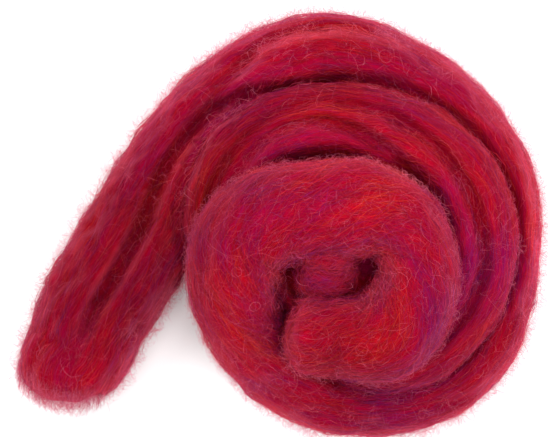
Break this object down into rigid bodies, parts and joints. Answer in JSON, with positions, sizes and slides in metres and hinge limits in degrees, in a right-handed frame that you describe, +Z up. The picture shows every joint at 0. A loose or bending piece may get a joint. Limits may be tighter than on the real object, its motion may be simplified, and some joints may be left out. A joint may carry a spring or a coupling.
{
  "type": "coiled wool roving",
  "caption": "Soft carded wool strand laid in a loose spiral coil, with its blunt loose end lying beside it.",
  "frame": {"origin": "under the eye of the coil, on the surface that the strand rests on", "axes": "+Z up out of the surface; +X from the loose end's side across the coil to its far side, along the longest side; +Y away from the tip of the loose end"},
  "size_m": [0.1933, 0.1561, 0.0657],
  "materials": {
    "wool": "matte crimson wool fibre, heathered with magenta and orange-red, fuzzy at its edges"
  },
  "bodies": {
    "root": {"coil": "wool", "loose_end": "wool"}
  },
  "joints": []
}
